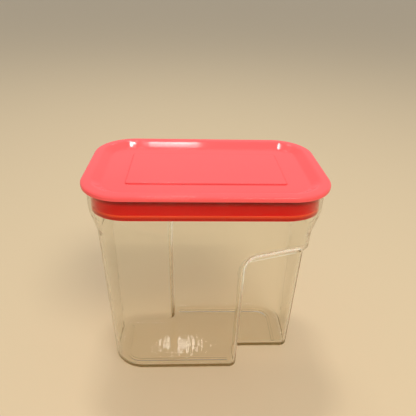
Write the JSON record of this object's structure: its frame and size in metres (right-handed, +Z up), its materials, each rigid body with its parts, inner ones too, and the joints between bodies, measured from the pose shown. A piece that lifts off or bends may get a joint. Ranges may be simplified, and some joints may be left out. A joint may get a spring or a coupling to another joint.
{
  "type": "storage jar",
  "caption": "Clear plastic kitchen storage jar, a tapered rounded rectangle in plan, with hand-grip recesses at opposite corners and a coloured press-in lid with a dished top.",
  "frame": {"origin": "middle of the foot, on the surface that the jar stands on", "axes": "+X along the long side, +Y from the front to the back across the short side, +Z up out of the mouth"},
  "size_m": [0.2, 0.1262, 0.1997],
  "materials": {
    "clear_plastic": "clear, polished by the mould",
    "lid_plastic": "coral red, satin gloss",
    "seal_rubber": "orange-red, matt"
  },
  "bodies": {
    "jar": {"jar_body": "clear_plastic"},
    "lid": {"lid": "lid_plastic", "seal_ring": "seal_rubber"}
  },
  "joints": [
    {"name": "lid_lift", "type": "slide", "parent": "jar", "child": "lid", "axis": [0, 0, 1], "range_m": [0, 0.06]}
  ]
}
